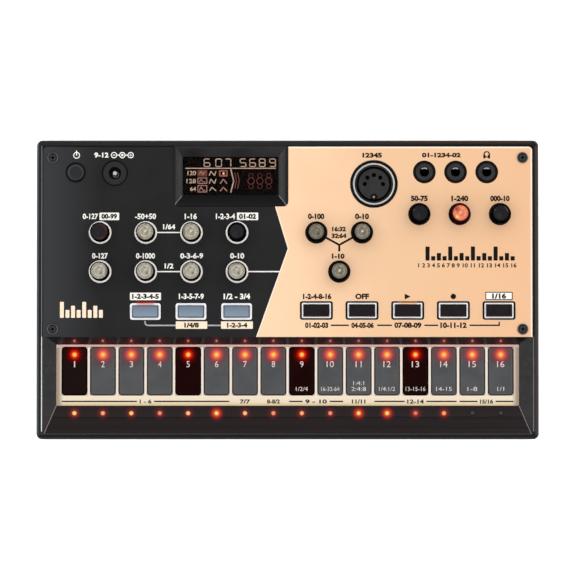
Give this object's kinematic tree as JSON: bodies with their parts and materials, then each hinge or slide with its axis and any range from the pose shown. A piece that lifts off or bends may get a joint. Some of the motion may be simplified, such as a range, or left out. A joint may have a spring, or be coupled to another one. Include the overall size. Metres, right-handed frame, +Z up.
{
  "type": "drum machine",
  "caption": "Palm-size electronic drum machine: two-tone faceplate with knobs and buttons over a tray of touch pads, with sockets and a display along the back.",
  "frame": {"origin": "middle of the footprint, on the surface that the feet stand on", "axes": "+X along the front edge to the right, +Y from the pads to the sockets, +Z up"},
  "size_m": [0.193, 0.115, 0.039],
  "materials": {
    "case": "moulded ABS with a fine spark texture",
    "faceplate": "satin paint in two tones, dark on the left and peach on the right",
    "black_screw": "blackened",
    "steel_screw": "zinc plated",
    "feet": "matt",
    "bezel": "satin moulded",
    "lens": "smoked acrylic, polished",
    "display": "dark display glass",
    "white_plastic": "moulded",
    "pad_plate": "satin paint",
    "grey_pad": "satin foil",
    "dark_pad": "satin foil",
    "board": "solder mask on glass fibre",
    "lamp": "clear moulded, lit",
    "black_plastic": "moulded",
    "pot": "moulded",
    "socket": "moulded",
    "bright_metal": "nickel plated",
    "speaker_frame": "stamped",
    "speaker_cone": "pressed pulp",
    "magnet": "ferrite",
    "cell": "printed sleeve",
    "ribbon": "flat film",
    "wire": "insulated",
    "grey_knob": "translucent moulded, fluted",
    "dark_grey_knob": "translucent moulded, fluted",
    "black_knob": "smoked moulded, fluted",
    "lit_knob": "translucent moulded, fluted, lit from below",
    "blue_button": "moulded",
    "black_button": "moulded"
  },
  "bodies": {
    "chassis": {"lower_case": "case", "upper_case": "case", "faceplate": "faceplate", "faceplate_screws": "black_screw", "case_screws": "steel_screw", "rubber_feet": "feet", "display_bezel": "bezel", "display_lens": "lens", "display_glass": "display", "display_backlight": "white_plastic", "pad_plate": "pad_plate", "grey_pads": "grey_pad", "dark_pads": "dark_pad", "touch_board": "board", "pad_lamps": "lamp", "step_lamps": "lamp", "control_board": "board", "board_parts": "black_plastic", "pot_housings": "pot", "key_switches": "black_plastic", "key_lamps": "lamp", "jack_board": "board", "round_socket": "socket", "round_socket_shell": "bright_metal", "small_sockets": "socket", "power_inlet": "socket", "power_inlet_pin": "bright_metal", "power_switch": "black_plastic", "speaker_frame": "speaker_frame", "speaker_cone": "speaker_cone", "speaker_magnet": "magnet", "battery_cells": "cell", "battery_contacts": "bright_metal", "board_screws": "steel_screw", "ribbon_cables": "ribbon", "hookup_wires": "wire"},
    "battery_cover": {"battery_cover": "case"},
    "power_button": {"power_button": "black_button"},
    "part_level_knob": {"part_level_knob": "black_knob"},
    "lfo_amount_knob": {"lfo_amount_knob": "grey_knob"},
    "lfo_rate_knob": {"lfo_rate_knob": "grey_knob"},
    "select_knob": {"select_knob": "black_knob"},
    "pitch_knob": {"pitch_knob": "grey_knob"},
    "attack_knob": {"attack_knob": "grey_knob"},
    "release_knob": {"release_knob": "grey_knob"},
    "send_knob": {"send_knob": "grey_knob"},
    "drum_decay_knob": {"drum_decay_knob": "dark_grey_knob"},
    "drum_body_knob": {"drum_body_knob": "dark_grey_knob"},
    "drum_tune_knob": {"drum_tune_knob": "dark_grey_knob"},
    "swing_knob": {"swing_knob": "black_knob"},
    "tempo_knob": {"tempo_knob": "lit_knob"},
    "volume_knob": {"volume_knob": "black_knob"},
    "edit_button": {"edit_button": "blue_button"},
    "active_step_button": {"active_step_button": "blue_button"},
    "layer_button": {"layer_button": "blue_button"},
    "step_jump_button": {"step_jump_button": "black_button"},
    "mute_button": {"mute_button": "black_button"},
    "play_button": {"play_button": "black_button"},
    "record_button": {"record_button": "black_button"},
    "function_button": {"function_button": "black_button"}
  },
  "joints": [
    {"name": "part_level_turn", "type": "hinge", "parent": "chassis", "child": "part_level_knob", "pos_m": [-0.0721, 0.022, 0.03], "axis": [0, 0, 1], "range_deg": [-40, 260]},
    {"name": "lfo_amount_turn", "type": "hinge", "parent": "chassis", "child": "lfo_amount_knob", "pos_m": [-0.05455, 0.022, 0.03], "axis": [0, 0, 1], "range_deg": [-285, 15]},
    {"name": "lfo_rate_turn", "type": "hinge", "parent": "chassis", "child": "lfo_rate_knob", "pos_m": [-0.037, 0.022, 0.03], "axis": [0, 0, 1], "range_deg": [-240, 60]},
    {"name": "select_turn", "type": "hinge", "parent": "chassis", "child": "select_knob", "pos_m": [-0.01945, 0.022, 0.03], "axis": [0, 0, 1], "range_deg": [-5, 295]},
    {"name": "pitch_turn", "type": "hinge", "parent": "chassis", "child": "pitch_knob", "pos_m": [-0.0721, 0.00695, 0.03], "axis": [0, 0, 1], "range_deg": [-60, 240]},
    {"name": "attack_turn", "type": "hinge", "parent": "chassis", "child": "attack_knob", "pos_m": [-0.05455, 0.00695, 0.03], "axis": [0, 0, 1], "range_deg": [-60, 240]},
    {"name": "release_turn", "type": "hinge", "parent": "chassis", "child": "release_knob", "pos_m": [-0.037, 0.00695, 0.03], "axis": [0, 0, 1], "range_deg": [-195, 105]},
    {"name": "send_turn", "type": "hinge", "parent": "chassis", "child": "send_knob", "pos_m": [-0.01945, 0.00695, 0.03], "axis": [0, 0, 1], "range_deg": [-150, 150]},
    {"name": "drum_decay_turn", "type": "hinge", "parent": "chassis", "child": "drum_decay_knob", "pos_m": [0.01105, 0.022, 0.03], "axis": [0, 0, 1], "range_deg": [-60, 240]},
    {"name": "drum_body_turn", "type": "hinge", "parent": "chassis", "child": "drum_body_knob", "pos_m": [0.0286, 0.022, 0.03], "axis": [0, 0, 1], "range_deg": [-240, 60]},
    {"name": "drum_tune_turn", "type": "hinge", "parent": "chassis", "child": "drum_tune_knob", "pos_m": [0.01985, 0.00695, 0.03], "axis": [0, 0, 1], "range_deg": [-150, 150]},
    {"name": "swing_turn", "type": "hinge", "parent": "chassis", "child": "swing_knob", "pos_m": [0.05065, 0.0291, 0.03], "axis": [0, 0, 1], "range_deg": [-195, 105]},
    {"name": "tempo_turn", "type": "hinge", "parent": "chassis", "child": "tempo_knob", "pos_m": [0.06615, 0.0291, 0.03], "axis": [0, 0, 1], "range_deg": [-285, 15]},
    {"name": "volume_turn", "type": "hinge", "parent": "chassis", "child": "volume_knob", "pos_m": [0.08165, 0.0291, 0.03], "axis": [0, 0, 1], "range_deg": [-90, 210]},
    {"name": "edit_press", "type": "slide", "parent": "chassis", "child": "edit_button", "axis": [0, 0, -1], "range_m": [0, 0.0008], "stiffness_N_per_m": 1200},
    {"name": "active_step_press", "type": "slide", "parent": "chassis", "child": "active_step_button", "axis": [0, 0, -1], "range_m": [0, 0.0008], "stiffness_N_per_m": 1200},
    {"name": "layer_press", "type": "slide", "parent": "chassis", "child": "layer_button", "axis": [0, 0, -1], "range_m": [0, 0.0008], "stiffness_N_per_m": 1200},
    {"name": "step_jump_press", "type": "slide", "parent": "chassis", "child": "step_jump_button", "axis": [0, 0, -1], "range_m": [0, 0.0008], "stiffness_N_per_m": 1200},
    {"name": "mute_press", "type": "slide", "parent": "chassis", "child": "mute_button", "axis": [0, 0, -1], "range_m": [0, 0.0008], "stiffness_N_per_m": 1200},
    {"name": "play_press", "type": "slide", "parent": "chassis", "child": "play_button", "axis": [0, 0, -1], "range_m": [0, 0.0008], "stiffness_N_per_m": 1200},
    {"name": "record_press", "type": "slide", "parent": "chassis", "child": "record_button", "axis": [0, 0, -1], "range_m": [0, 0.0008], "stiffness_N_per_m": 1200},
    {"name": "function_press", "type": "slide", "parent": "chassis", "child": "function_button", "axis": [0, 0, -1], "range_m": [0, 0.0008], "stiffness_N_per_m": 1200},
    {"name": "power_press", "type": "slide", "parent": "chassis", "child": "power_button", "axis": [0, 0, -1], "range_m": [0, 0.0015], "stiffness_N_per_m": 900},
    {"name": "cover_slide", "type": "slide", "parent": "chassis", "child": "battery_cover", "axis": [0, -1, 0], "range_m": [0, 0.03]}
  ]
}
